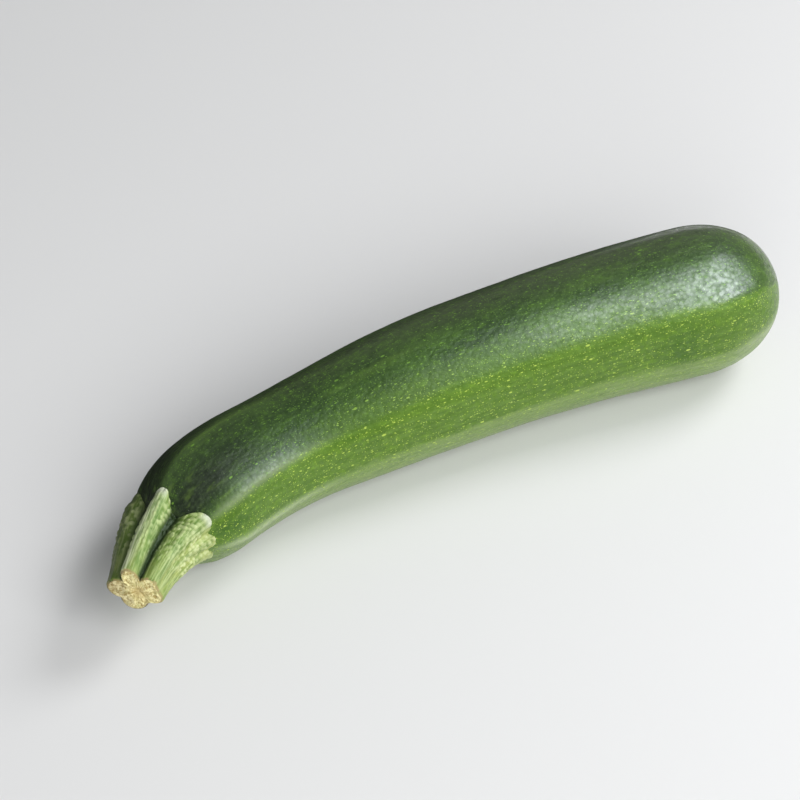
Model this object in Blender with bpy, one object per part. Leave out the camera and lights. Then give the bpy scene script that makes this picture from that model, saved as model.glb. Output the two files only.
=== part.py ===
"""A courgette as picked: one curved fruit with its ribbed stem still on, lying on a flat surface.

Units are metres and +Z is up. The origin is under the middle of the whole courgette, on the surface
it lies on, and +X runs from the cut end of the stem to the blossom end. The fruit bows towards +Y.

Each solid follows a centreline of its own. A place on one is given by "along", the distance from the
line's first point, and by "turn", the angle round it: 0 on the side that faces -Y, 90 degrees on top
and 180 degrees on the side that faces +Y.
"""

import math

import bmesh
import bpy
import numpy as np

MM = 0.001

# Centreline of the fruit: x, y, z, and the radius of its body before the ends are rounded off.
FRUIT_LINE = np.array([
    (-101.2, -28.8, 18.3, 18.0),  # the end under the stem
    (-88.0, -22.3, 18.4, 18.2),
    (-75.5, -18.4, 18.6, 18.6),
    (-53.0, -15.2, 18.5, 18.4),
    (-16.0, -16.2, 20.7, 20.7),
    (25.0, -20.4, 22.0, 22.0),
    (64.5, -27.6, 23.0, 23.1),
    (90.0, -33.6, 23.4, 23.5),
    (114.4, -39.9, 23.6, 23.6),  # the tip of the blossom end
]) * MM
SHOULDER_LENGTH = 22.0 * MM  # rounded end under the stem
SHOULDER_POWER = 2.1  # of the superellipse: 2 is an ellipse, more is squarer
BLOSSOM_LENGTH = 29.0 * MM
BLOSSOM_POWER = 2.15
SIT_DEPTH = 0.35 * MM  # how far the underside is pressed flat where it lies

# Five ridges run down the fruit from the five ribs of the stem.
RIDGE_TURNS = (176.0, 111.0, 40.0, -14.0, 246.0)
RIDGE_SHARPNESS = 7.0
RIDGE_BODY = 0.022  # height of a ridge as a share of the radius, along the body
RIDGE_NECK = 0.055  # more of it near the stem
RIDGE_FADE = 26.0 * MM  # the length over which that fades

# Centreline of the stem: x, y and z.
STEM_LINE = np.array([
    (-118.3, -44.1, 20.4),  # the middle of the cut face
    (-109.0, -35.6, 19.8),
    (-99.5, -28.2, 18.8),  # where it meets the fruit
    (-90.0, -22.6, 18.4),  # inside the fruit
]) * MM
STEM_BASE = 25.0 * MM  # along: where the stem is at its widest, on the fruit
STEM_END = 33.0 * MM  # along: it is modelled this far into the fruit, then trimmed
TIP_LENGTH = 6.0 * MM  # over which the ends of the ribs round off towards the fruit
CORE_CUT = 5.1 * MM  # radius between the ribs at the cut
CORE_BASE = 8.4 * MM  # and at the base
FLARE_POWER = 1.5  # how late the stem widens towards its base
RIB_BLEND = 6.0  # how sharp the grooves between the ribs are
RIBS = (
    # turn at the base, turn at the cut, height at the base, height at the cut, half the angle it spans
    (176.0, 178.0, 6.5, 4.6, 42.0),
    (106.0, 115.0, 5.0, 4.1, 34.0),
    (41.0, 58.0, 5.6, 2.5, 40.0),
    (6.0, 22.0, 4.4, 1.4, 26.0),
    (-21.0, -11.0, 4.4, 2.4, 34.0),
    (246.0, 244.0, 5.6, 2.5, 56.0),
)
TRIM_GAP = 0.3 * MM  # clearance between the stem and the fruit

FRUIT_AROUND, FRUIT_RINGS = 52, 44
STEM_AROUND, STEM_RINGS = 72, 12
LINE_SAMPLES = 600


def natural_spline(knots, values, at):
    """The smooth curve through rows of values: a cubic between each two, with no bend at the ends."""
    step = np.diff(knots)[:, None]
    rise = np.diff(values, axis=0) / step
    system = np.eye(len(knots))
    bend_sum = np.zeros_like(values)
    for i in range(1, len(knots) - 1):
        before, after = step[i - 1, 0], step[i, 0]
        system[i, i - 1 : i + 2] = before, 2 * (before + after), after
        bend_sum[i] = 6 * (rise[i] - rise[i - 1])
    bend = np.linalg.solve(system, bend_sum)
    i = np.clip(np.searchsorted(knots, at) - 1, 0, len(step) - 1)
    width = step[i]
    past = (at - knots[i])[:, None]
    left = width - past
    return (
        (bend[i] * left**3 + bend[i + 1] * past**3) / (6 * width)
        + (values[i] / width - bend[i] * width / 6) * left
        + (values[i + 1] / width - bend[i + 1] * width / 6) * past
    )


class Centreline:
    """A smooth curve through rows of x, y, z and any further values, measured along its length."""

    def __init__(self, rows):
        chord = np.linalg.norm(np.diff(rows[:, :3], axis=0), axis=1)
        knots = np.concatenate([[0], np.cumsum(chord)])
        self.rows = natural_spline(knots, rows, np.linspace(0, knots[-1], LINE_SAMPLES))
        steps = np.linalg.norm(np.diff(self.rows[:, :3], axis=0), axis=1)
        self.along = np.concatenate([[0], np.cumsum(steps)])
        self.length = self.along[-1]

    def at(self, along):
        """The row of values at a distance along the curve."""
        return np.array([np.interp(along, self.along, column) for column in self.rows.T])

    def frame(self, along):
        """The place on the curve, the direction of turn 0 and the direction of turn 90 degrees."""
        reach = 1.0 * MM
        forward = self.at(along + reach)[:3] - self.at(along - reach)[:3]
        forward /= np.linalg.norm(forward)
        side = np.cross(forward, (0, 0, 1))
        side /= np.linalg.norm(side)
        return self.at(along)[:3], side, np.cross(side, forward)

    def skin_point(self, along, turn, radius):
        """The point at a distance from the curve, at an angle round it."""
        place, side, up = self.frame(along)
        return place + radius * (math.cos(turn) * side + math.sin(turn) * up)


def superellipse(share, power):
    """Height of a rounded end: 0 at its pole (share 0), 1 where it joins the body (share 1)."""
    return (1 - (1 - min(max(share, 0.0), 1.0)) ** power) ** (1 / power)


def ridge_relief(turn):
    """1 on a ridge of the fruit and about 0 between two."""
    return sum(math.exp(RIDGE_SHARPNESS * (math.cos(turn - math.radians(ridge)) - 1)) for ridge in RIDGE_TURNS)


def fruit_radius(line, along, turn, grown):
    """Distance of the skin from the centreline: body radius, rounded ends, and the five ridges."""
    rounding = superellipse((along + grown) / SHOULDER_LENGTH, SHOULDER_POWER)
    rounding *= superellipse((line.length + grown - along) / BLOSSOM_LENGTH, BLOSSOM_POWER)
    height = RIDGE_BODY + RIDGE_NECK * math.exp(-along / RIDGE_FADE)
    return (line.at(along)[3] + grown) * rounding * (1 + height * (ridge_relief(turn) - 0.5))


def stem_radius(along, turn):
    """Distance of the stem's skin from its centreline: a core that flares to the fruit, and its ribs."""
    share = min(along / STEM_BASE, 1.1)
    flare = share**FLARE_POWER
    core = CORE_CUT + (CORE_BASE - CORE_CUT) * flare
    total = 0.0
    for base_turn, cut_turn, base_height, cut_height, half_width in RIBS:
        middle = cut_turn + (base_turn - cut_turn) * share
        away = (math.degrees(turn) - middle + 180) % 360 - 180
        if abs(away) < half_width:
            height = (cut_height + (base_height - cut_height) * flare) * MM
            total += (height * math.cos(math.radians(90 * away / half_width))) ** RIB_BLEND
    tip = superellipse((STEM_END - along) / TIP_LENGTH + 0.3, 2.0)
    return (core + total ** (1 / RIB_BLEND)) * tip


def skin(name, colour, roughness):
    """A plain material for the design."""
    material = bpy.data.materials.new(name)
    material.use_nodes = True
    shader = material.node_tree.nodes["Principled BSDF"]
    shader.inputs["Base Color"].default_value = (*colour, 1)
    shader.inputs["Roughness"].default_value = roughness
    shader.inputs["Metallic"].default_value = 0.0
    material.diffuse_color = (*colour, 1)
    return material


def collection(name):
    made = bpy.data.collections.new(name)
    bpy.context.scene.collection.children.link(made)
    return made


def object_from(name, bm, home, parent):
    """Turns an edited mesh into a smooth-shaded object in a collection."""
    mesh = bpy.data.meshes.new(name)
    bm.to_mesh(mesh)
    bm.free()
    mesh.shade_smooth()
    made = bpy.data.objects.new(name, mesh)
    made.parent = parent
    home.objects.link(made)
    return made


def fruit_mesh(line, grown=0.0):
    """A sphere drawn out along the centreline: its poles are the fruit's two ends."""
    bm = bmesh.new()
    bmesh.ops.create_uvsphere(bm, u_segments=FRUIT_AROUND, v_segments=FRUIT_RINGS, radius=1.0)
    for vertex in bm.verts:
        unit = vertex.co.copy()
        along = (line.length + 2 * grown) * (1 - unit.z) / 2 - grown
        turn = math.atan2(unit.y, unit.x)
        vertex.co = line.skin_point(along, turn, fruit_radius(line, along, turn, grown))
    return bm


def stem_mesh(line):
    """A tube with rings along it, drawn out from the cut face to inside the fruit."""
    bm = bmesh.new()
    bmesh.ops.create_cone(bm, cap_ends=True, segments=STEM_AROUND, radius1=1.0, radius2=1.0, depth=2.0)
    walls = [edge for edge in bm.edges if abs(edge.verts[0].co.z - edge.verts[1].co.z) > 1.0]
    bmesh.ops.subdivide_edges(bm, edges=walls, cuts=STEM_RINGS)
    for vertex in bm.verts:
        unit = vertex.co.copy()
        along = STEM_END * (1 - unit.z) / 2
        turn = math.atan2(unit.y, unit.x)
        vertex.co = line.skin_point(along, turn, stem_radius(along, turn))
    return bm


def press_flat(bm, level):
    """Cuts off what is below this height and closes the cut with a flat face."""
    everything = bm.verts[:] + bm.edges[:] + bm.faces[:]
    cut = bmesh.ops.bisect_plane(
        bm, geom=everything, plane_co=(0, 0, level), plane_no=(0, 0, -1), clear_outer=True
    )
    rim = [item for item in cut["geom_cut"] if isinstance(item, bmesh.types.BMEdge)]
    bmesh.ops.holes_fill(bm, edges=rim)
    bmesh.ops.recalc_face_normals(bm, faces=bm.faces)


def stand_on_origin(origin, objects):
    """Moves the parent so that the world origin is under the middle of the objects' box."""
    bpy.context.view_layer.update()
    graph = bpy.context.evaluated_depsgraph_get()
    corners = np.array([
        tuple(vertex.co) for item in objects for vertex in item.evaluated_get(graph).data.vertices
    ])
    low, high = corners.min(axis=0), corners.max(axis=0)
    origin.location = (-(low[0] + high[0]) / 2, -(low[1] + high[1]) / 2, -low[2])


def main():
    for item in list(bpy.data.objects):
        bpy.data.objects.remove(item)
    courgette = collection("courgette")
    cutters = collection("cutters")
    origin = bpy.data.objects.new("courgette_origin", None)
    courgette.objects.link(origin)
    fruit_line = Centreline(FRUIT_LINE)

    flesh = fruit_mesh(fruit_line)
    press_flat(flesh, min(vertex.co.z for vertex in flesh.verts) + SIT_DEPTH)
    fruit = object_from("fruit", flesh, courgette, origin)
    fruit.data.materials.append(skin("fruit_skin", (0.05, 0.14, 0.03), 0.38))

    clearance = object_from("fruit_clearance", fruit_mesh(fruit_line, TRIM_GAP), cutters, origin)
    clearance.hide_render = True
    clearance.display_type = "WIRE"

    stem = object_from("stem", stem_mesh(Centreline(STEM_LINE)), courgette, origin)
    stem.data.materials.append(skin("stem_rind", (0.22, 0.36, 0.10), 0.55))
    trim = stem.modifiers.new("trim_to_fruit", "BOOLEAN")
    trim.operation = "DIFFERENCE"
    trim.object = clearance

    stand_on_origin(origin, (fruit, stem))


main()
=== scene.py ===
import itertools
import math

import bpy
import numpy as np
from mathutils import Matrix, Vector


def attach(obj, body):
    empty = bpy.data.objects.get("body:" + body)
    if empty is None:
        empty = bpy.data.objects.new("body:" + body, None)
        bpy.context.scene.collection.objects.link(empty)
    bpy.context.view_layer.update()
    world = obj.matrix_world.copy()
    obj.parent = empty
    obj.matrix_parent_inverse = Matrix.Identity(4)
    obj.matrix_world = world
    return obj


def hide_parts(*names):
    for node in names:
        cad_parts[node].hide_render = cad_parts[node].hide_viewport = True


# A courgette lying on a pale floor: the skin of its fruit and the rind of its cut stem.
# Shapes are worked out in millimetres, in the frame's own directions, and become metres in a mesh.
# A place on the fruit or the stem is given by "along", the distance from the first point of its
# centreline, and by "turn", the angle round it: 0 faces -Y, 90 degrees is on top, 180 faces +Y.

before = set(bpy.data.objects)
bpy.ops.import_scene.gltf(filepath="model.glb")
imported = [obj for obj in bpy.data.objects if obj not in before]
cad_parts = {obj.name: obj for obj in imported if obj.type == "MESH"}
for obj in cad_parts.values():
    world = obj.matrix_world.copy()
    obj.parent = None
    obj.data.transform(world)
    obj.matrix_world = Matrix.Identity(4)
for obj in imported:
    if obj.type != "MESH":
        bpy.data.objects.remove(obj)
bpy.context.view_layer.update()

MM = 0.001

# ---------------------------------------------------------------- centrelines

# the shift brings the middle of the whole box over the origin, and its foot to z = 0
LINE_SHIFT = np.array([4.862, 26.162, -0.212])
LINE_STEPS = 600
FRUIT_ROWS = np.array([
    # x, y, z and the radius there, from the stem to the blossom end
    (-101.2, -28.8, 18.3, 18.0),
    (-88.0, -22.3, 18.4, 18.2),
    (-75.5, -18.4, 18.6, 18.6),
    (-53.0, -15.2, 18.5, 18.4),
    (-16.0, -16.2, 20.7, 20.7),
    (25.0, -20.4, 22.0, 22.0),
    (64.5, -27.6, 23.0, 23.1),
    (90.0, -33.6, 23.4, 23.5),
    (114.4, -39.9, 23.6, 23.6),
])
STEM_ROWS = np.array([
    # x, y and z, from the cut face into the fruit
    (-118.3, -44.1, 20.4),
    (-109.0, -35.6, 19.8),
    (-99.5, -28.2, 18.8),
    (-90.0, -22.6, 18.4),
])


def natural_spline(knots, values, at):
    """The smooth curve through rows of values: a cubic between each two, with no bend at the ends."""
    step = np.diff(knots)[:, None]
    rise = np.diff(values, axis=0) / step
    system = np.eye(len(knots))
    bend_sum = np.zeros_like(values)
    for i in range(1, len(knots) - 1):
        before, after = step[i - 1, 0], step[i, 0]
        system[i, i - 1 : i + 2] = before, 2 * (before + after), after
        bend_sum[i] = 6 * (rise[i] - rise[i - 1])
    bend = np.linalg.solve(system, bend_sum)
    i = np.clip(np.searchsorted(knots, at) - 1, 0, len(step) - 1)
    width = step[i]
    past = (at - knots[i])[:, None]
    left = width - past
    return (
        (bend[i] * left**3 + bend[i + 1] * past**3) / (6 * width)
        + (values[i] / width - bend[i] * width / 6) * left
        + (values[i + 1] / width - bend[i + 1] * width / 6) * past
    )


class Centreline:
    """A smooth curve through rows of x, y, z and any further value, measured along its length."""

    def __init__(self, rows):
        rows = rows.copy()
        rows[:, :3] += LINE_SHIFT
        chord = np.linalg.norm(np.diff(rows[:, :3], axis=0), axis=1)
        knots = np.concatenate([[0], np.cumsum(chord)])
        self.rows = natural_spline(knots, rows, np.linspace(0, knots[-1], LINE_STEPS))
        steps = np.linalg.norm(np.diff(self.rows[:, :3], axis=0), axis=1)
        self.along = np.concatenate([[0], np.cumsum(steps)])
        self.length = self.along[-1]

    def at(self, along):
        """Rows of values at distances along the curve; past its ends it goes straight on."""
        found = np.stack([np.interp(along, self.along, column) for column in self.rows.T], -1)
        over = along - np.clip(along, 0, self.length)
        first = (self.rows[1] - self.rows[0]) / self.along[1]
        last = (self.rows[-1] - self.rows[-2]) / (self.along[-1] - self.along[-2])
        heading = np.where((over < 0)[..., None], first, last)[..., :3]
        found[..., :3] += over[..., None] * heading
        return found

    def axes(self, along):
        """Places on the curve, its forward direction, and the directions of turn 0 and turn 90."""
        forward = self.at(along + 1.0)[..., :3] - self.at(along - 1.0)[..., :3]
        forward /= np.linalg.norm(forward, axis=-1, keepdims=True)
        side = np.cross(forward, (0, 0, 1))
        side /= np.linalg.norm(side, axis=-1, keepdims=True)
        return self.at(along)[..., :3], forward, side, np.cross(side, forward)

    def points(self, along, turn, radius):
        """place + radius * (cos(turn) * side + sin(turn) * up), for whole arrays of the three."""
        place, _, side, up = self.axes(along)
        outwards = np.cos(turn)[..., None] * side + np.sin(turn)[..., None] * up
        return place + radius[..., None] * outwards


# ------------------------------------------------------------- random patterns

# large primes that scatter the whole numbers of a cell, its seed and the two rounds of stirring
CELL_PRIMES = np.array([73856093, 19349663, 83492791])
SEED_PRIME, FIRST_PRIME, SECOND_PRIME = 2654435761, 1274126177, 668265263
LAST_BITS = 0xFFFFFF
PEBBLE_MARGIN, PEBBLE_ROOM = 0.12, 0.76


def cell_number(cells, seed):
    """A number from 0 to 1 for each whole-number cell, the same every time."""
    mixed = (cells.astype(np.int64) * CELL_PRIMES).sum(-1) + seed * SEED_PRIME
    mixed = (mixed ^ (mixed >> 13)) * FIRST_PRIME
    mixed = (mixed ^ (mixed >> 15)) * SECOND_PRIME
    return ((mixed ^ (mixed >> 16)) & LAST_BITS) / LAST_BITS


def soft_noise(points, seed):
    """Smooth heights from -1 to 1: the numbers at the 8 corners of each unit cube, blended."""
    base = np.floor(points)
    part = points - base
    part = part * part * (3 - 2 * part)
    total = 0
    for corner in itertools.product((0, 1), repeat=3):
        weight = np.where(np.array(corner, bool), part, 1 - part).prod(-1)
        total = total + weight * cell_number(base + corner, seed)
    return 2 * total - 1


def pebbles(points, seed):
    """Distance to the nearest of points scattered one to a unit cube, and that one's own number."""
    base = np.floor(points)
    nearest = np.full(points.shape[:-1], np.inf)
    own = np.zeros(points.shape[:-1])
    for step in itertools.product((-1, 0, 1), repeat=3):
        cell = base + step
        scatter = np.stack([cell_number(cell, seed + k) for k in (1, 2, 3)], -1)
        gap = np.linalg.norm(points - (cell + PEBBLE_MARGIN + PEBBLE_ROOM * scatter), axis=-1)
        own = np.where(gap < nearest, cell_number(cell, seed + 4), own)
        nearest = np.minimum(gap, nearest)
    return nearest, own


def ease(low, high, value):
    """0 below low, 1 above high, and a smooth step between."""
    share = np.clip((value - low) / (high - low), 0, 1)
    return share * share * (3 - 2 * share)


def bell(value, middle, width):
    """1 at the middle, falling away to nothing over about twice the width."""
    return np.exp(-(((value - middle) / width) ** 2))


def degrees_from(turn, middle):
    """How far round from the middle, in degrees, from -180 to 180."""
    return (np.degrees(turn) - middle + 180) % 360 - 180


def unrolled(along, turn, radius):
    """Where a place on the skin would be if the centreline were straight: patterns follow this."""
    return np.stack([along, radius * np.cos(turn), radius * np.sin(turn)], -1)


# --------------------------------------------------------------------- fruit

FRUIT_RINGS, FRUIT_COLUMNS = 360, 270
FINE_STEPS = 4000
FOOT_SOFTNESS = 0.3  # over what height the flat strip that it lies on rounds into the skin
SHOULDER_LENGTH, SHOULDER_POWER = 22.0, 2.1  # the rounded end at the stem
BLOSSOM_LENGTH, BLOSSOM_POWER = 29.0, 2.15  # and the one at the blossom
RIDGE_TURNS = np.array([176.0, 106.0, 38.0, -6.0, -60.0, -114.0])
RIB_RIDGES = RIDGE_TURNS[:4]  # the ridges that go on from ribs of the stem

# how flat the sides between ridges are: over the body, more at the neck, less at the blossom end
FLATNESS, NECK_FLATNESS, NECK_FLAT_LENGTH = 0.2, 0.28, 45
BLOSSOM_ROUNDING, ROUNDING_STARTS, ROUNDING_DONE = 0.06, 150, 200
# flattening leaves the radius as it is where the six-sided outline is at this level
FACET_SHARPNESS, FACET_LEVEL = 34.0, 0.875

# the ridges of the neck, as a part of the radius, which stays as it is where their sum is at the level
NECK_LENGTH = 22
RIDGE_HEIGHT, RIDGE_SHARPNESS, RIDGE_LEVEL = 0.05, 26, 0.45

RELIEF_FADE = 30  # over what length the finer lines near the stem fade
RELIEF = (
    # sizes along and across, height, and what the height gains at the stem: lumps, lines, then dimples
    (26, 13, 0.16, 0),
    (12, 7, 0.07, 0),
    (30, 1.7, 0.02, 0.07),
    (45, 3.4, 0.03, 0.07),
    (3.2, 2.2, 0.028, 0),
    (1.9, 1.5, 0.014, 0),
)
SCAR_RINGS = (
    # height, distance from the blossom end's axis and width: a boss, a dent round it and a raised edge
    (0.50, 0, 1.0),
    (-0.45, 2.0, 0.7),
    (0.30, 3.6, 0.6),
)
SCAR_REACH = 20
fruit_line = Centreline(FRUIT_ROWS)
stem_line = Centreline(STEM_ROWS)


def superellipse(share, power):
    """Height of a rounded end: 0 at its pole (share 0), 1 where it joins the body (share 1)."""
    return (1 - (1 - np.clip(share, 0, 1)) ** power) ** (1 / power)


def fruit_profile(along):
    """Radius of the body on its own: the line's radius with both ends rounded off."""
    rounding = superellipse(along / SHOULDER_LENGTH, SHOULDER_POWER)
    rounding *= superellipse((fruit_line.length - along) / BLOSSOM_LENGTH, BLOSSOM_POWER)
    return fruit_line.at(along)[..., 3] * rounding


def facets(turn):
    """Distance to a six-sided outline with its corners on the ridges, softened, 1 at a corner.

    Each side i, with its middle at m and half its angle h, gives cos(turn - m) / cos(h); the
    outline is 1 over the power mean of those that face the turn.
    """
    first = np.sort(RIDGE_TURNS)
    after = np.append(first[1:], first[0] + 360)
    middles, halves = np.radians((first + after) / 2), np.radians((after - first) / 2)
    facing = np.maximum(np.cos(turn[..., None] - middles), 0) / np.cos(halves)
    return (facing**FACET_SHARPNESS).sum(-1) ** (-1 / FACET_SHARPNESS)


def fruit_radius(along, turn):
    """Distance of the smooth skin from the centreline: body, flat sides and the ridges of the neck.

    radius = body * (1 + flatness * (facets - FACET_LEVEL) + RIDGE_HEIGHT * exp(-along / NECK_LENGTH) *
    (ridges - RIDGE_LEVEL)), where a ridge is exp(RIDGE_SHARPNESS * (cos(turn - its own turn) - 1)).
    """
    flatness = FLATNESS + NECK_FLATNESS * np.exp(-along / NECK_FLAT_LENGTH)
    flatness = flatness - BLOSSOM_ROUNDING * ease(ROUNDING_STARTS, ROUNDING_DONE, along)
    outline = 1 + flatness * (facets(turn) - FACET_LEVEL)
    away = [np.cos(turn - math.radians(ridge)) - 1 for ridge in RIB_RIDGES]
    ridges = sum(np.exp(RIDGE_SHARPNESS * fall) for fall in away)
    neck = np.exp(-along / NECK_LENGTH)
    return fruit_profile(along) * (outline + RIDGE_HEIGHT * neck * (ridges - RIDGE_LEVEL))


def fruit_relief(along, turn, radius):
    """Unevenness of the skin, in millimetres: noise of several sizes and the blossom scar's rings."""
    straight = unrolled(along, turn, radius)
    neck = np.exp(-along / RELIEF_FADE)
    uneven = sum(
        soft_noise(straight / (length, width, width), seed) * (height + gain * neck)
        for seed, (length, width, height, gain) in enumerate(RELIEF, start=11)
    )
    scar = sum(height * bell(radius, ring, width) for height, ring, width in SCAR_RINGS)
    scar = np.where(fruit_line.length - along < SCAR_REACH, scar, 0)
    ruffle = 1 + 0.5 * soft_noise(straight * (1, 0.9, 0.9), 17)
    return uneven * ease(0, 14, radius) + scar * ruffle


def equal_steps(profile, length, count, inset):
    """Distances along a line that are equal steps over the profile's own curve, inset at both ends."""
    fine = length * (1 - np.cos(np.linspace(0, math.pi, FINE_STEPS))) / 2
    curve = np.concatenate([[0], np.cumsum(np.hypot(np.diff(fine), np.diff(profile(fine))))])
    return np.interp(np.linspace(inset, curve[-1] - inset, count), curve, fine)


def sit_flat(points):
    """Presses what is below the floor up to it, softly: z = (z + sqrt(z^2 + FOOT_SOFTNESS^2)) / 2."""
    height = points[..., 2]
    points[..., 2] = (height + np.sqrt(height**2 + FOOT_SOFTNESS**2)) / 2
    return points


# --------------------------------------------------------------------- meshes


def closed_skin(name, rings, values):
    """A closed mesh through rings of points, in millimetres, facing outwards.

    rings[i, j] joins its neighbours along i and round j, and the first and last ring each close on
    the point in their middle. values are named arrays, one number or one vector to a point.
    """
    count, around = rings.shape[:2]

    def with_middles(array):
        flat = array.reshape(count * around, -1)
        return np.concatenate([flat[:around].mean(0)[None], flat, flat[-around:].mean(0)[None]])

    at = 1 + np.arange(count)[:, None] * around + np.arange(around)
    beside = np.roll(at, -1, axis=1)
    quads = np.stack([at[:-1], at[1:], beside[1:], beside[:-1]], -1).reshape(-1, 4)
    start, finish = np.zeros(around, int), np.full(around, count * around + 1)
    caps = np.concatenate([
        np.stack([start, at[0], beside[0]], -1),
        np.stack([at[-1], finish, beside[-1]], -1),
    ])
    corners = np.concatenate([quads.ravel(), caps.ravel()])
    starts = np.concatenate([np.arange(len(quads)) * 4, quads.size + np.arange(len(caps)) * 3])
    places = with_middles(rings) * MM
    mesh = bpy.data.meshes.new(name)
    mesh.vertices.add(len(places))
    mesh.vertices.foreach_set("co", places.astype(np.float32).ravel())
    mesh.loops.add(len(corners))
    mesh.loops.foreach_set("vertex_index", corners.astype(np.int32))
    mesh.polygons.add(len(starts))
    mesh.polygons.foreach_set("loop_start", starts.astype(np.int32))
    mesh.update(calc_edges=True)
    mesh.shade_smooth()
    for label, array in values.items():
        kind, part = ("FLOAT_VECTOR", "vector") if array.ndim == 3 else ("FLOAT", "value")
        made = mesh.attributes.new(label, kind, "POINT")
        made.data.foreach_set(part, with_middles(array).astype(np.float32).ravel())
    piece = bpy.data.objects.new(name, mesh)
    bpy.context.scene.collection.objects.link(piece)
    return piece


# ------------------------------------------------------------------ materials


class Wire:
    """A number, colour or vector on its way through a material; sums on numbers add Math nodes."""

    def __init__(self, recipe, socket):
        self.recipe, self.socket = recipe, socket

    def maths(self, operation, first, second):
        return self.recipe.node("ShaderNodeMath", {"operation": operation}, {0: first, 1: second})

    def __add__(self, other):
        return self.maths("ADD", self, other)

    def __sub__(self, other):
        return self.maths("SUBTRACT", self, other)

    def __rsub__(self, other):
        return self.maths("SUBTRACT", other, self)

    def __mul__(self, other):
        return self.maths("MULTIPLY", self, other)

    def __truediv__(self, other):
        return self.maths("DIVIDE", self, other)

    __radd__ = __add__
    __rmul__ = __mul__


class Recipe:
    """The nodes of one material."""

    def __init__(self, name):
        self.material = bpy.data.materials.new(name)
        self.material.use_nodes = True
        self.tree = self.material.node_tree
        self.tree.nodes.clear()

    def node(self, kind, settings, inputs, output=0):
        """Adds a node: its settings first, then a value or a wire for each named or numbered socket."""
        made = self.tree.nodes.new(kind)
        for setting, value in settings.items():
            setattr(made, setting, value)
        for socket, value in inputs.items():
            if isinstance(value, Wire):
                self.tree.links.new(value.socket, made.inputs[socket])
            else:
                made.inputs[socket].default_value = value
        return Wire(self, made.outputs[output])

    def value(self, name):
        """One of the mesh's own numbers."""
        return self.node("ShaderNodeAttribute", {"attribute_name": name}, {}, "Fac")

    def vector(self, name):
        """One of the mesh's own vectors."""
        return self.node("ShaderNodeAttribute", {"attribute_name": name}, {}, "Vector")

    def stretch(self, vector, sizes):
        """A vector in steps of these sizes, so that a pattern on it grows by them."""
        shrink = tuple(1 / size for size in sizes)
        return self.node("ShaderNodeVectorMath", {"operation": "MULTIPLY"}, {0: vector, 1: shrink})

    def noise(self, vector, sizes, detail=3, roughness=0.6):
        """Cloudy numbers from 0 to 1 with patches of these sizes."""
        inputs = {"Vector": self.stretch(vector, sizes), "Scale": 1.0}
        inputs |= {"Detail": detail, "Roughness": roughness}
        return self.node("ShaderNodeTexNoise", {"noise_dimensions": "3D"}, inputs, "Fac")

    def between(self, value, low, high):
        """0 where the value is at low, 1 at high, and a smooth step between."""
        return self.node(
            "ShaderNodeMapRange",
            {"interpolation_type": "SMOOTHSTEP"},
            {"Value": value, "From Min": low, "From Max": high, "To Min": 0.0, "To Max": 1.0},
        )

    def cells(self, vector, sizes, output="Distance"):
        """Points scattered one to a cell of these sizes: the distance to the nearest, or its colour."""
        inputs = {"Vector": self.stretch(vector, sizes), "Scale": 1.0, "Randomness": 1.0}
        settings = {"voronoi_dimensions": "3D", "feature": "F1"}
        return self.node("ShaderNodeTexVoronoi", settings, inputs, output)

    def specks(self, vector, sizes, radius, share):
        """Spots scattered one to a cell of these sizes, of which only a share is there: 1 in a spot.

        A spot's own number says whether it is there and how large it is, from 0.4 to 1 of the radius.
        """
        gap = self.cells(vector, sizes)
        colour = self.cells(vector, sizes, "Color")
        own = self.node("ShaderNodeSeparateColor", {"mode": "RGB"}, {"Color": colour}, 0)
        reach = self.between(own, 1 - share, 1.0) * (radius * 0.6) + radius * 0.4
        there = self.between(own, 1 - share - 0.02, 1 - share + 0.02)
        return (1 - self.between(gap / reach, 0.55, 1.0)) * there

    def mix(self, share, first, second, blend="MIX"):
        """The first colour, and where share is 1 the second, or the two multiplied."""
        first, second = (c if isinstance(c, Wire) else (*c, 1.0) for c in (first, second))
        settings = {"data_type": "RGBA", "blend_type": blend}
        return self.node("ShaderNodeMix", settings, {0: share, 6: first, 7: second}, 2)

    def bump(self, height):
        """Tilts the surface by a height in millimetres."""
        inputs = {"Height": height, "Strength": 1.0, "Distance": MM}
        return self.node("ShaderNodeBump", {}, inputs, "Normal")

    def finish(self, **inputs):
        """The shader itself, from its sockets' names with _ for a space."""
        sockets = {name.replace("_", " "): value for name, value in inputs.items()}
        shader = self.node("ShaderNodeBsdfPrincipled", {}, sockets)
        output = self.tree.nodes.new("ShaderNodeOutputMaterial")
        self.tree.links.new(shader.socket, output.inputs["Surface"])
        return self.material


# colours of the skin that come in two, mixed by a pattern
DARK_SKIN = (0.019, 0.040, 0.011), (0.036, 0.077, 0.014)
LIGHT_SIDE = (0.057, 0.120, 0.009), (0.087, 0.168, 0.017)
UNDERSIDE = (0.125, 0.205, 0.045), (0.180, 0.262, 0.075)
# the next pair is painted shade, for the fruit's hollows between the stem's ribs
SHADED_HOLLOW = (0.012, 0.017, 0.010), (0.028, 0.041, 0.021)
CORK = (0.085, 0.062, 0.026), (0.34, 0.27, 0.13)

# two of which the first is for the dark skin and the second for the light side
LIGHTER = (0.075, 0.160, 0.018), (0.155, 0.290, 0.020)
DARKER = (0.008, 0.022, 0.004), (0.040, 0.110, 0.004)
FLECK = (0.12, 0.24, 0.035), (0.36, 0.48, 0.075)

# grey wax bloom together with a painted sheen of the room, on top of the fruit
WAX_BLOOM_AND_SHEEN = (0.066, 0.080, 0.046)
# a deep green patch by the stem, and a painted shadow across the light side near the blossom end
DEEP_GREEN_AND_SHADOW = (0.030, 0.085, 0.004)
# paler ridge tops near the stem, partly a painted highlight along the ridges
RIDGE_TOP_AND_HIGHLIGHT = (0.070, 0.125, 0.035)
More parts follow.
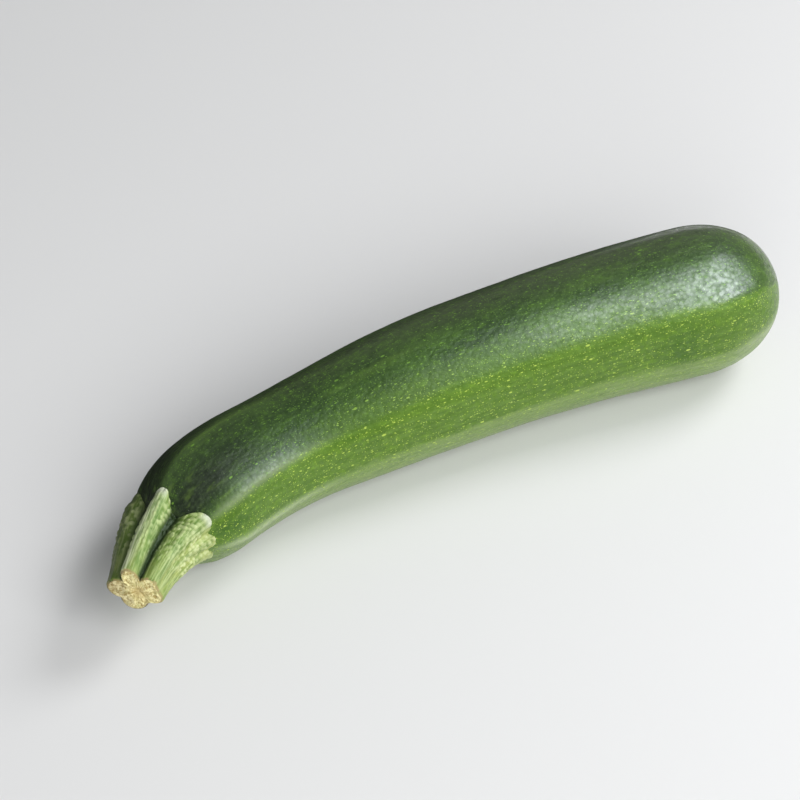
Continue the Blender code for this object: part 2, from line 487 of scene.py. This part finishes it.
# a painted highlight along the ridges at the edges of the zones
EDGE_HIGHLIGHT = (0.30, 0.37, 0.20)
PALE_STREAK = (0.15, 0.25, 0.045)
PIT = (0.012, 0.035, 0.006)
DUST = (0.60, 0.62, 0.50)
CRUMB = (0.30, 0.35, 0.27)
MOTTLING = 0.45


def courgette_skin():
    """Waxy green skin: dark sides, a light side, a pale underside, streaks, specks and fine dimples."""
    r = Recipe("courgette_skin")
    at = r.vector("straight")
    names = ("light", "pale", "neck", "shaded_hollow", "crest", "scar", "edge", "deep_green_and_shadow", "bloom_and_sheen", "gloss")
    light, pale, neck, shaded_hollow, crest, scar, edge, deep_green_and_shadow, bloom_and_sheen, gloss = (r.value(name) for name in names)

    # patterns, with their sizes along the fruit and twice across it, in millimetres
    cloud = r.noise(at, (22, 9, 9), roughness=0.5)
    patch = r.noise(at, (1.9, 1.8, 1.8), detail=2)
    domes = r.cells(at, (1.5, 1.25, 1.25))
    streak = r.noise(at, (26, 1.1, 1.1))
    long_streak = r.noise(at, (60, 2.8, 2.8), detail=2, roughness=0.5)
    grain = r.noise(at, (0.55, 0.45, 0.45))
    mottle = r.noise(at, (2.6, 1.5, 1.5))

    # the ground colour, from one zone of the skin to the next
    dark_skin = r.mix(r.between(cloud, 0.3, 0.7), *DARK_SKIN)
    light_side = r.mix(r.between(streak, 0.25, 0.75), *LIGHT_SIDE)
    colour = r.mix(light, dark_skin, light_side)
    colour = r.mix(pale, colour, r.mix(r.between(streak, 0.3, 0.7), *UNDERSIDE))
    # wax bloom with a painted sheen along the top
    colour = r.mix(bloom_and_sheen * 0.65, colour, WAX_BLOOM_AND_SHEEN)
    # painted shade in the hollows by the stem
    colour = r.mix(shaded_hollow, colour, r.mix(r.between(streak, 0.4, 0.7), *SHADED_HOLLOW))
    # a painted shadow near the blossom end and a deep green patch by the stem
    colour = r.mix(deep_green_and_shadow, colour, DEEP_GREEN_AND_SHADOW)
    # paler ridge tops, partly a painted highlight
    colour = r.mix(crest * 0.5, colour, RIDGE_TOP_AND_HIGHLIGHT)
    # painted highlights along the ridges at the zone edges
    colour = r.mix(edge, colour, EDGE_HIGHLIGHT)

    # mottling and streaks
    clear = 1 - shaded_hollow * 0.85
    colour = r.mix(r.between(mottle, 0.48, 0.78) * MOTTLING * clear, colour, r.mix(light, *LIGHTER))
    colour = r.mix(r.between(mottle, 0.48, 0.25) * MOTTLING * clear, colour, r.mix(light, *DARKER))
    streaked = r.between(long_streak, 0.52, 0.78) * (neck * 0.4 + 0.12)
    colour = r.mix(streaked, colour, PALE_STREAK)

    # specks, from the finest to the dashes, and what lies in and on the skin
    fleck = r.mix(light, *FLECK)
    fine = r.specks(at, (0.85, 0.45, 0.45), 0.36, 0.85)
    spots = r.specks(at, (2.4, 0.8, 0.8), 0.25, 0.85)
    dashes = r.specks(at, (5.5, 2.2, 2.2), 0.18, 0.5)
    pits = r.specks(at, (24, 16, 16), 0.05, 0.5)
    dust = r.specks(at, (12, 12, 12), 0.028, 0.35)
    crumbs = r.specks(at, (1.9, 1.0, 1.0), 0.15, 0.2) * r.between(shaded_hollow * neck, 0.25, 0.7)
    colour = r.mix(fine * 0.7 * clear, colour, fleck)
    colour = r.mix(spots * clear, colour, fleck)
    colour = r.mix(dashes * 0.95, colour, fleck)
    colour = r.mix(pits * 0.8, colour, PIT)
    colour = r.mix(dust * 0.8, colour, DUST)
    colour = r.mix(crumbs * 0.7, colour, CRUMB)
    colour = r.mix(scar, colour, r.mix(r.between(patch, 0.4, 0.6), *CORK))

    height = mottle * 0.12 + patch * 0.12 - domes * 0.11 + grain * 0.02
    height = height + spots * 0.010 - pits * 0.05 + streak * 0.03
    pebbly = r.between(patch, 0.35, 0.65) * 0.4 + r.between(domes, 0.7, 0.25) * 0.55 + 0.25
    return r.finish(
        Base_Color=colour,
        Roughness=0.36 + cloud * 0.10 + grain * 0.08 + scar * 0.25,
        Specular_IOR_Level=0.22,
        Coat_Weight=gloss * pebbly,
        Coat_Roughness=0.2,
        Normal=r.bump(height),
    )


# Colours of the stem: where there are two, a pattern mixes them, or the second is for the yellower side.
GREEN_RIND = (0.070, 0.145, 0.012), (0.170, 0.260, 0.048)
YELLOW_RIND = (0.115, 0.19, 0.020), (0.29, 0.34, 0.090)
WART = (0.42, 0.50, 0.22), (0.58, 0.63, 0.33)
FLESH = (0.34, 0.26, 0.08), (0.78, 0.72, 0.37)
PALE_FIBRE = (0.38, 0.46, 0.18)
GREEN_FIBRE = (0.080, 0.150, 0.016)
RIB_CREST = (0.66, 0.72, 0.47)
# painted shade in the grooves between the ribs
GROOVE_SHADE = (0.014, 0.030, 0.005)
RIB_TIP = (0.55, 0.58, 0.47)
PALE_GRAIN = (0.90, 0.86, 0.55)
DAMP_FLESH = (0.42, 0.40, 0.16)
BROWN_HEART = (0.46, 0.33, 0.12)
FAR_SIDE_SHADE = (0.42, 0.37, 0.44)
DRY_RIM = (0.34, 0.25, 0.11)


def stem_rind():
    """Ribbed rind: pale crests, warty green flanks, painted shade in grooves, and the dry fibrous cut
    face.
    """
    r = Recipe("stem_rind")
    at, face = r.vector("straight"), r.vector("face")
    names = ("wart", "crest", "groove_shade", "tip", "cut", "rim", "heart", "shade", "yellow")
    wart, crest, groove_shade, tip, cut, rim, heart, shade, yellow = (r.value(name) for name in names)

    # patterns, with their sizes along the stem and twice across it, in millimetres
    fibre = r.noise(at, (9, 0.5, 0.5))
    patch = r.noise(at, (5, 2.2, 2.2), roughness=0.5)
    grain = r.noise(at, (0.6, 0.45, 0.45))
    rays = r.noise(face, (1, 1, 1), roughness=0.65) * 0.5 + r.noise(at, (1.2, 0.9, 0.9)) * 0.5

    green = r.mix(r.between(patch, 0.3, 0.7), *GREEN_RIND)
    colour = r.mix(yellow, green, r.mix(r.between(patch, 0.35, 0.65), *YELLOW_RIND))
    colour = r.mix(r.between(fibre, 0.45, 0.62) * 0.5, colour, PALE_FIBRE)
    colour = r.mix(r.between(fibre, 0.45, 0.30) * 0.5, colour, GREEN_FIBRE)
    colour = r.mix(crest * (r.between(fibre, 0.4, 0.6) * 0.6 + 0.2), colour, RIB_CREST)
    colour = r.mix(wart, colour, r.mix(yellow, *WART))
    # painted shade in the grooves
    colour = r.mix(groove_shade, colour, GROOVE_SHADE)
    colour = r.mix(tip * 0.8, colour, RIB_TIP)

    flesh = r.mix(r.between(rays, 0.40, 0.58), *FLESH)
    flesh = r.mix(r.between(grain, 0.5, 0.75) * 0.6, flesh, PALE_GRAIN)
    flesh = r.mix(r.between(patch, 0.5, 0.3) * 0.6, flesh, DAMP_FLESH)
    flesh = r.mix(heart * 0.6, flesh, BROWN_HEART)
    colour = r.mix(cut, colour, flesh)
    colour = r.mix(shade, colour, FAR_SIDE_SHADE, "MULTIPLY")
    colour = r.mix(rim * r.between(patch, 0.35, 0.6), colour, DRY_RIM)

    return r.finish(
        Base_Color=colour,
        Roughness=0.48 + grain * 0.15 + cut * 0.25,
        Normal=r.bump(fibre * 0.16 + grain * 0.08 + rays * cut * 0.3),
    )


# ---------------------------------------------------------------------- stem

STEM_RINGS, STEM_COLUMNS, FACE_RINGS, CLOSE_RINGS = 170, 400, 34, 8
STEM_BASE = 25.0  # where the ribs have their base sizes, from the cut
CORE_CUT, CORE_BASE, FLARE_POWER = 5.1, 8.4, 1.5
RIB_BLEND, RIB_SHARPENING = 6, 0.9
RIBS = (
    # turn at the base and at the cut, height at both, half the angle it spans at both,
    # and its pale crest: how far round from its middle, how wide and how pale
    (176.0, 178.0, 6.5, 4.6, 40.0, 42.0, 0.0, 9.0, 0.15),
    (106.0, 115.0, 5.2, 4.1, 28.0, 32.0, 2.5, 7.5, 1.0),
    (38.0, 50.0, 5.2, 2.5, 33.0, 34.0, -6.0, 7.0, 0.25),
    (7.0, 22.0, 4.3, 1.6, 27.0, 28.0, 0.0, 6.0, 0.2),
    (-21.0, -11.0, 4.2, 2.4, 28.0, 34.0, 0.0, 8.0, 0.2),
    (246.0, 244.0, 5.6, 2.5, 54.0, 56.0, 0.0, 10.0, 0.3),
)


# where the wall may end, how far under the fruit's skin it ends, and how many columns smooth that line
WALL_FIRST, WALL_LAST, WALL_PROBES = 8, 33, 101
UNDER_SKIN = 1.0
SMOOTH_COLUMNS = 12

LIP_HEIGHT, WART_HEIGHT, CUT_BEVEL = 0.35, 0.5, 0.5
PATTERN_RADIUS = 10  # patterns follow the wall as if it were this far from the centreline all along
CLOSE_ALONG = 26.0  # where the hidden end closes
UPPER_RIBS, LIT_SIDE = 68, 20  # turns: between the two upper ribs, and opposite the shaded side


def stem_radius(along, turn):
    """Distance of the rind from the stem's centreline, how near a rib's middle it is, and the crests.

    A core that widens with (along / STEM_BASE)^FLARE_POWER carries ribs of height * cos(90 degrees *
    away / half width), those with pale crests sharper towards the fruit, added together by a power
    mean of RIB_BLEND. The nearness is the highest of those cosines.
    """
    share = np.minimum(along / STEM_BASE, 1.1)
    flare = np.maximum(share, 0) ** FLARE_POWER
    sharpening = RIB_SHARPENING * np.maximum(share, 0) ** 3
    total, level, crests = 0, 0, 0
    for base_turn, cut_turn, base_height, cut_height, base_half, cut_half, offset, width, pale in RIBS:
        away = degrees_from(turn, cut_turn + (base_turn - cut_turn) * share)
        half_width = cut_half + (base_half - cut_half) * share
        height = cut_height + (base_height - cut_height) * flare
        wave = np.where(np.abs(away) < half_width, np.cos(np.radians(90 * away / half_width)), 0)
        total = total + (height * wave ** (1 + sharpening * pale)) ** RIB_BLEND
        level = np.maximum(level, wave)
        crests = np.maximum(crests, pale * bell(away, offset, width))
    return CORE_CUT + (CORE_BASE - CORE_CUT) * flare + total ** (1 / RIB_BLEND), level, crests


def over_fruit(points):
    """Height of points over the fruit's skin, measured across the fruit's centreline."""
    along = np.linspace(-20, 60, 321)
    place, forward, side, up = fruit_line.axes(along)
    nearest = ((points[..., None, :] - place) ** 2).sum(-1).argmin(-1)
    offset = points - place[nearest]
    past = (offset * forward[nearest]).sum(-1)
    across = np.stack([(offset * side[nearest]).sum(-1), (offset * up[nearest]).sum(-1)], -1)
    reach = np.linalg.norm(across, axis=-1)
    turn = np.arctan2(across[..., 1], across[..., 0])
    spot = along[nearest] + past
    return reach - fruit_radius(np.maximum(spot, 0.0), turn)


def wall_ends(turn):
    """How far along the wall goes at each turn: to just under the fruit's skin, smoothed."""
    along, turns = np.meshgrid(np.linspace(WALL_FIRST, WALL_LAST, WALL_PROBES), turn, indexing="ij")
    radius, _, _ = stem_radius(along, turns)
    under = over_fruit(stem_line.points(along, turns, radius)) < -UNDER_SKIN
    first = np.where(under.any(0), under.argmax(0), WALL_PROBES - 1)
    ends = along[first, np.arange(len(turn))]
    soften = bell(np.arange(-SMOOTH_COLUMNS, SMOOTH_COLUMNS + 1), 0, 5)
    wrapped = np.concatenate([ends[-SMOOTH_COLUMNS:], ends, ends[:SMOOTH_COLUMNS]])
    return np.convolve(wrapped, soften / soften.sum(), "valid")


def cut_face(share, turn, radius):
    """The cut face, by share of the way out: dished, dented, and with a raised ring near the rim."""
    ray = unrolled(radius * 0.5, turn, 4.2)
    flat = unrolled(np.zeros_like(radius), turn, radius)
    dent = 0.08 * soft_noise(ray * (1, 0.8, 0.8), 36) + 0.10 * soft_noise(ray * 2.3, 37)
    dent = dent + 0.22 * soft_noise(flat / 1.7, 38) + 0.12 * soft_noise(flat / 0.8, 39)
    dish = 0.55 * bell(radius, 0, 2.2) - 0.25 * bell(share, 0.9, 0.08)
    inwards = dent * ease(0, 0.25, share) * (1 - ease(0.9, 1, share)) + dish
    _, forward, _, _ = stem_line.axes(np.zeros(1))
    return stem_line.points(np.zeros_like(radius), turn, radius) + inwards[..., None] * forward


def build_stem():
    """The stem: its cut face, its ribbed wall down to just under the fruit's skin, and a hidden end."""
    turn = np.linspace(-math.pi, math.pi, STEM_COLUMNS, endpoint=False)

    # the wall, with warts between the crests, fibres, and a lip where it meets the fruit
    ends = wall_ends(turn)
    along = np.linspace(0, 1, STEM_RINGS)[:, None] * ends
    turns = np.broadcast_to(turn, along.shape)
    radius, level, crests = stem_radius(along, turns)
    over = over_fruit(stem_line.points(along, turns, radius))
    around = unrolled(along, turns, PATTERN_RADIUS)
    depth, own = pebbles(around / (1.7, 1.15, 1.15), 31)
    wart_zone = ease(0.1, 0.5, along / ends) * (0.75 + 0.5 * soft_noise(around / 5, 32)).clip(0, 1)
    warts = (1 - ease(0.24, 0.60, depth)) * (0.55 + 0.45 * own) * (wart_zone * (1 - 0.8 * crests))
    fibres = 0.10 * soft_noise(around / (14, 0.55, 0.55), 33)
    fibres = fibres + 0.12 * soft_noise(around / (20, 1.2, 1.2), 34)
    lip = LIP_HEIGHT * bell(over + 0.35 * soft_noise(around / 1.8, 35), 0.2, 0.5)
    lip = np.where(over > -1.3, lip, 0)
    relief = (warts * WART_HEIGHT + fibres) * ease(0, 0.9, along)
    radius = radius + lip + relief - CUT_BEVEL * (1 - ease(0, 0.7, along)) ** 2
    wall = stem_line.points(along, turns, radius)

    # the cut face, from near its middle out to the rind, and the hidden end, closing inside the fruit
    face_share = np.linspace(0.03, 1, FACE_RINGS, endpoint=False)[:, None]
    face_turn = np.broadcast_to(turn, (FACE_RINGS, STEM_COLUMNS))
    face_radius = face_share * radius[0]
    face = cut_face(face_share, face_turn, face_radius)
    close_share = np.linspace(0, 0.98, CLOSE_RINGS + 1)[1:, None, None]
    inner = wall[-1] + (stem_line.at(np.array([CLOSE_ALONG]))[0, :3] - wall[-1]) * close_share

    def whole(on_wall, on_face=0.0):
        """One number to a point, from what it is on the wall and on the face; 0 on the hidden end."""
        parts = ((on_face, face), (on_wall, wall), (0.0, inner))
        return np.concatenate([np.broadcast_to(value, part.shape[:2]) for value, part in parts])

    down = np.clip(along / ends, 0, 1)
    tips = ease(0.84, 0.96, down) * ease(0.85, 0.98, level)
    values = {
        "straight": np.concatenate([
            unrolled(np.zeros_like(face_radius), face_turn, face_radius),
            around,
            np.broadcast_to(around[-1], inner.shape),
        ]),
        "face": np.concatenate([
            unrolled(face_radius * 0.35, face_turn, 5),
            np.zeros_like(wall),
            np.zeros_like(inner),
        ]),
        "wart": whole(warts.clip(0, 1)),
        "crest": whole(crests),
        # painted shade where the ribs dip into grooves
        "groove_shade": whole(1 - ease(0.15, 0.58, level)),
        "tip": whole(tips * ease(58, 48, np.abs(degrees_from(turns, UPPER_RIBS)))),
        "cut": whole(0.0, 1.0),
        "rim": whole(1 - ease(0.1, 0.5, along), ease(0.93, 0.985, face_share)),
        "heart": whole(0.0, bell(face_radius, 0, 2.6)),
        "shade": whole(
            0.7 * ease(118, 150, np.abs(degrees_from(turns, LIT_SIDE))),
            0.5 * ease(115, 145, np.abs(degrees_from(face_turn, LIT_SIDE))) * ease(2, 5, face_radius),
        ),
        "yellow": whole((ease(48, 26, degrees_from(turns, 0)) + 0.5 * ease(0.5, 0.05, down)).clip(0, 1)),
    }
    return closed_skin("courgette_stem", np.concatenate([face, wall, inner]), values)


# how shiny the wax is along the upper side of the fruit, and everywhere on its light side
GLOSS_ALONG = (0, 12, 24, 35, 48, 62, 105, 122, 136, 150, 165, 180, 192, 200, 208, 220)
GLOSS = (0.0, 0.0, 0.25, 0.35, 0.35, 0.12, 0.06, 0.14, 0.40, 0.60, 0.50, 0.55, 1.0, 1.0, 0.9, 0.7)
SIDE_GLOSS = 0.55

# turns round the fruit where painted shade darkens the hollows between the stem's ribs
SHADED_HOLLOW_TURNS = (68, 140, 210)  # between the ribs of the stem
# the turn where the wax bloom and painted sheen on top are strongest
BLOOM_AND_SHEEN_TURN = 108
FRUIT_INSET = 0.35  # from each pole to the first ring, over the skin


def build_fruit():
    """The fruit: its centreline's radius, ridges and fine relief, pressed flat where it lies.

    Its colours come in zones round it, dark on top, light at the side and pale underneath, and in
    patches along it. Each zone's edge moves slowly round the fruit along its length and wobbles.
    """
    rows = equal_steps(fruit_profile, fruit_line.length, FRUIT_RINGS, FRUIT_INSET)
    turn = np.linspace(-math.pi, math.pi, FRUIT_COLUMNS, endpoint=False)
    along, turns = np.meshgrid(rows, turn, indexing="ij")
    radius = fruit_radius(along, turns)
    skin = radius + fruit_relief(along, turns, radius)
    rings = sit_flat(fruit_line.points(along, turns, skin))

    # degrees above the light side's upper edge and above its lower edge, and how those edges wobble
    share = along / fruit_line.length
    straight = unrolled(along, turns, radius)
    wobble = 2.5 * soft_noise(straight / (18, 6, 6), 21) + 1.2 * soft_noise(straight / (3, 2, 2), 22)
    above_side = degrees_from(turns, 35 + 5 * share)
    above_under = degrees_from(turns, -3 - 3 * share)

    # the light side, which fades upwards over the middle of the fruit, and the underside
    over_edge = ease(-4, 4, above_side + wobble)
    middle = ease(40, 70, along) * ease(190, 165, along)
    light = 1 - over_edge + middle * 0.5 * (1 - ease(0, 32, above_side + 2 * wobble)) * over_edge
    light = (light + 0.3 * ease(202, 211, along)).clip(0, 1) * ease(-165, -125, above_side)
    pale = ease(-5, 5, -(above_under + wobble)) * ease(-125, -95, above_under)
    pale = pale * (0.4 + 0.6 * ease(10, 30, along))

    # painted highlights along both edges near the stem, and along the lower one at the blossom end
    edge = bell(above_under, -4, 4.5) + 0.4 * bell(above_side, 1, 4)
    edge = edge * ease(70, 32, along) * ease(4, 14, along)
    edge = edge + 0.55 * bell(above_under, -3, 8) * ease(194, 205, along)

    # painted shade in the hollows between the stem's ribs, fading away from the stem
    shaded_hollow = sum(bell(degrees_from(turns, middle_turn), 0, 25) for middle_turn in SHADED_HOLLOW_TURNS)
    # ridges near the stem: paler tops and a painted highlight along them
    crest = sum(bell(degrees_from(turns, ridge), 0, 5) for ridge in RIB_RIDGES)
    # a painted shadow across the light side near the blossom end, and a deep green patch by the stem
    deep_green_and_shadow = 0.6 * bell(along, 180, 9) * bell(above_under, 14, 18)
    deep_green_and_shadow = deep_green_and_shadow + 0.9 * bell(along, 12, 9) * bell(above_under, 18, 10)
    scar_edge = radius + 0.6 * soft_noise(straight / (9, 1.1, 1.1), 18)
    dull_top = ease(6, 18, above_side) * ease(95, 60, along)
    wax = np.interp(along, GLOSS_ALONG, GLOSS) * (1 - dull_top * 0.9)
    values = {
        "straight": straight,
        "light": light,
        "pale": pale,
        "neck": np.exp(-along / NECK_LENGTH),
        "shaded_hollow": (shaded_hollow * ease(52, 12, along) * 1.1).clip(0, 0.95),
        # wax bloom and painted sheen along the top, stronger towards the blossom end
        "bloom_and_sheen": bell(degrees_from(turns, BLOOM_AND_SHEEN_TURN), 0, 22) * (0.35 + 0.65 * ease(30, 120, along)),
        "crest": crest * ease(60, 12, along),
        "scar": ease(3.4, 2.7, scar_edge) * (share > 0.5),
        "edge": edge,
        "deep_green_and_shadow": deep_green_and_shadow,
        "gloss": np.where(above_side > -12, wax, SIDE_GLOSS),
    }
    return closed_skin("courgette_fruit", rings, values)


fruit = build_fruit()
fruit.data.materials.append(courgette_skin())
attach(fruit, "root")
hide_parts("fruit")

stem = build_stem()
stem.data.materials.append(stem_rind())
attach(stem, "root")
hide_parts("stem")

# ------------------------------------------------------------ floor and light

VIEW_TURN, VIEW_RISE, VIEW_DISTANCE = math.radians(33.5), math.radians(43.0), 0.95
LENS, SENSOR = 136.4, 36.0
LOOK_AT = np.array([4.86, 26.16, -0.2]) * MM
right = np.array([math.cos(VIEW_TURN), -math.sin(VIEW_TURN), 0])
away = np.array([math.sin(VIEW_TURN), math.cos(VIEW_TURN), 0])
overhead = np.array([0, 0, 1.0])

FLOOR_HALF = 6.0
ROOM_COLOUR, ROOM_STRENGTH = (0.95, 0.98, 1.0, 1), 0.22
WHITE, COOL_WHITE = (1, 1, 1), (0.88, 0.94, 1.0)
CARD_START, CARD_END, CARD_POSTS = 2, 236, 60  # along the fruit's centreline
CARD_GAP = 38  # from the centreline
CARD_TALL, CARD_DROP = 44, 12  # its height at the stem, and how much lower it is at the blossom end
CARD_LIFT = 0.5  # its lower edge's height over the floor


def from_view(place):
    """A point right of, away from and above the one that the camera looks at, in metres."""
    return LOOK_AT + place[0] * right + place[1] * away + place[2] * overhead


def plain_material(name, colour, roughness):
    """One colour all over."""
    return Recipe(name).finish(Base_Color=(*colour, 1), Roughness=roughness)


def flat_faces(name, corners, faces, material):
    """A plain mesh of the stage, its corners in metres."""
    mesh = bpy.data.meshes.new(name)
    mesh.from_pydata(corners, [], faces)
    mesh.materials.append(material)
    made = bpy.data.objects.new(name, mesh)
    bpy.context.scene.collection.objects.link(made)
    return made


def pale_floor():
    """A wide flat square under the courgette."""
    corners = [(x * FLOOR_HALF, y * FLOOR_HALF, 0) for x, y in ((-1, -1), (1, -1), (1, 1), (-1, 1))]
    material = plain_material("pale_floor", (0.72, 0.72, 0.72), 0.8)
    return flat_faces("floor", corners, [(0, 1, 2, 3)], material)


def dark_card():
    """A low card close behind the courgette: only gloss sees it, so that the far edge stays dark.

    It stands just over the floor and follows the fruit's centreline at a fixed distance towards +Y.
    """
    along = np.linspace(CARD_START, CARD_END, CARD_POSTS)
    place, _, side, _ = fruit_line.axes(along)
    foot = (place - CARD_GAP * side) * (1, 1, 0)
    tall = CARD_TALL - CARD_DROP * ease(150, 212, along)
    corners = np.concatenate([foot + (0, 0, CARD_LIFT), foot + tall[:, None] * (0, 0, 1)]) * MM
    faces = [(i, i + 1, CARD_POSTS + i + 1, CARD_POSTS + i) for i in range(CARD_POSTS - 1)]
    material = plain_material("dark_card", (0.05, 0.065, 0.04), 0.9)
    card = flat_faces("dark_card", corners.tolist(), faces, material)
    card.visible_camera = card.visible_diffuse = card.visible_shadow = False
    return card


def aim(thing, place, target):
    """Puts a light or camera at a place with its -Z towards the target."""
    thing.location = place
    thing.rotation_euler = Vector(target - place).to_track_quat("-Z", "Y").to_euler()
    bpy.context.scene.collection.objects.link(thing)


def soft_light(name, place, width, height, power, seen_by, target=LOOK_AT, colour=WHITE):
    """A flat panel of light at a place right of, away from and above the courgette, facing a target.

    seen_by says which of the surfaces' two ways of reflecting it serves, "matt" or "gloss".
    """
    light = bpy.data.lights.new(name, "AREA")
    light.shape, light.size, light.size_y = "RECTANGLE", width, height
    light.energy, light.color = power, colour
    panel = bpy.data.objects.new(name, light)
    panel.visible_diffuse, panel.visible_glossy = seen_by == "matt", seen_by == "gloss"
    panel.visible_camera = False
    aim(panel, from_view(place), target)


pale_floor()
dark_card()
soft_light("window", (0.75, -0.85, 0.95), 1.0, 1.0, 15.0, "matt")
soft_light("front_fill", (0.05, -1.30, 0.45), 0.8, 0.8, 9.0, "matt")
soft_light("window_glow", (0.70, -0.50, 1.00), 1.1, 1.0, 3.0, "gloss")
soft_light("back_light", (0.75, 0.45, 0.75), 0.5, 0.5, 7.0, "matt")

# the long highlight: a window's glow, brighter towards its middle, all panels facing the same way
GLOW_COMES_FROM = (0.52, -0.37, 0.77)
for name, place, width, height, power in (
    ("near_glow", (0.229, -0.016, 0.227), 0.36, 0.31, 0.40),
    ("near_panel", (0.238, -0.004, 0.227), 0.27, 0.24, 0.88),
    ("near_core", (0.230, -0.041, 0.215), 0.14, 0.19, 0.50),
):
    behind = from_view(np.subtract(place, GLOW_COMES_FROM))
    soft_light(name, place, width, height, power, "gloss", behind, COOL_WHITE)

world = bpy.data.worlds.new("room")
world.use_nodes = True
background = world.node_tree.nodes["Background"]
background.inputs["Color"].default_value = ROOM_COLOUR
background.inputs["Strength"].default_value = ROOM_STRENGTH
bpy.context.scene.world = world
bpy.context.scene.view_settings.view_transform = "Standard"

camera_data = bpy.data.cameras.new("camera")
camera_data.lens, camera_data.sensor_width = LENS, SENSOR
camera = bpy.data.objects.new("camera", camera_data)
backwards = -math.cos(VIEW_RISE) * away + math.sin(VIEW_RISE) * overhead
aim(camera, LOOK_AT + VIEW_DISTANCE * backwards, LOOK_AT)
bpy.context.scene.camera = camera

bpy.context.view_layer.update()
